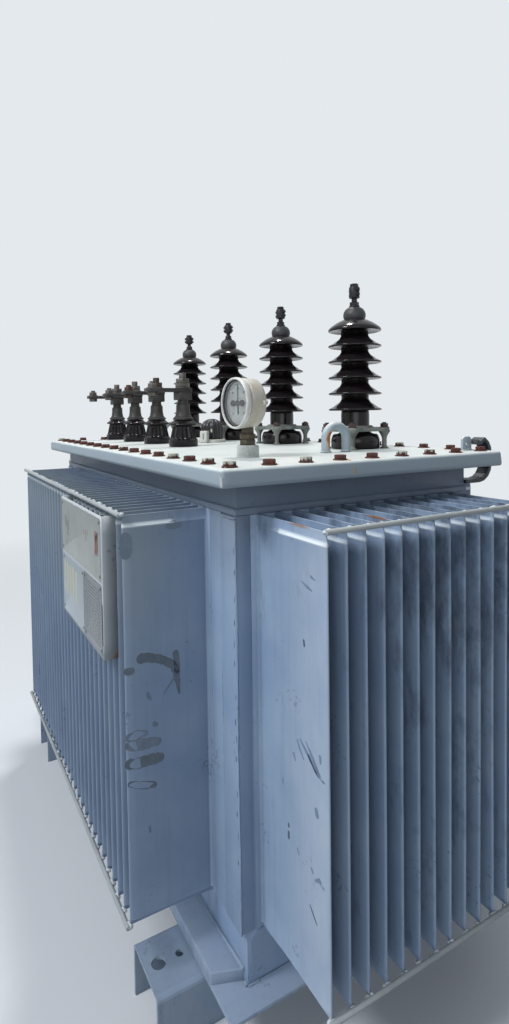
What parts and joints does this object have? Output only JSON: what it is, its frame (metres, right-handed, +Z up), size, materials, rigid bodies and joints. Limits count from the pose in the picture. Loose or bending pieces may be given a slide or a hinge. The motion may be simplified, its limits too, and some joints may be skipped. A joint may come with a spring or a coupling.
{
  "type": "power transformer, oil-filled distribution type with a corrugated tank",
  "caption": "Sealed distribution transformer: corrugated tank with tie bars, folded lid, shed and fluted porcelain bushings, dial thermometer, tap changer knob, lifting eyes and channel base.",
  "frame": {"origin": "middle of the whole part's floor area, on the floor that the base channels stand on", "axes": "+Z up, -Y towards the front corrugated wall, -X towards the side with the low-voltage bushings and the nameplate bracket"},
  "size_m": [0.9176, 1.6506, 1.4091],
  "materials": {
    "tank_paint": "satin grey-blue paint, weathered",
    "lid_paint": "satin pale grey paint with rust runs",
    "porcelain": "dark brown gloss glaze",
    "clamp_metal": "cast, dull",
    "cap_metal": "olive grey, dull",
    "lug_metal": "tinned, dull and weathered",
    "gauge_enamel": "off-white enamel",
    "brass": "tarnished",
    "black_plastic": "moulded, matt",
    "hook_steel": "dark rolled steel",
    "plate_metal": "bare sheet, dull"
  },
  "bodies": {
    "root": {"tank_body": "tank_paint", "front_fin_wall": "tank_paint", "back_fin_wall": "tank_paint", "left_fin_wall": "tank_paint", "right_fin_wall": "tank_paint", "front_upper_tie_bar": "tank_paint", "front_lower_tie_bar": "tank_paint", "back_upper_tie_bar": "tank_paint", "back_lower_tie_bar": "tank_paint", "left_upper_tie_bar": "tank_paint", "left_lower_tie_bar": "tank_paint", "right_upper_tie_bar": "tank_paint", "right_lower_tie_bar": "tank_paint", "lid": "lid_paint", "hv_porcelain_1": "porcelain", "hv_porcelain_2": "porcelain", "hv_porcelain_3": "porcelain", "hv_porcelain_4": "porcelain", "hv_clamp_1": "clamp_metal", "hv_clamp_2": "clamp_metal", "hv_clamp_3": "clamp_metal", "hv_clamp_4": "clamp_metal", "hv_terminal_1": "cap_metal", "hv_terminal_2": "cap_metal", "hv_terminal_3": "cap_metal", "hv_terminal_4": "cap_metal", "lv_porcelain_1": "porcelain", "lv_porcelain_2": "porcelain", "lv_porcelain_3": "porcelain", "lv_porcelain_4": "porcelain", "lv_terminal_1": "lug_metal", "lv_terminal_2": "lug_metal", "lv_terminal_3": "lug_metal", "lv_terminal_4": "lug_metal", "gauge_stem": "brass", "gauge_case": "gauge_enamel", "tap_changer_base": "lid_paint", "tap_changer_knob": "black_plastic", "front_lifting_eye": "lid_paint", "back_lifting_eye": "lid_paint", "corner_lug": "lid_paint", "corner_hook": "hook_steel", "front_base_channel": "tank_paint", "back_base_channel": "tank_paint", "nameplate_bracket": "plate_metal"}
  },
  "joints": []
}
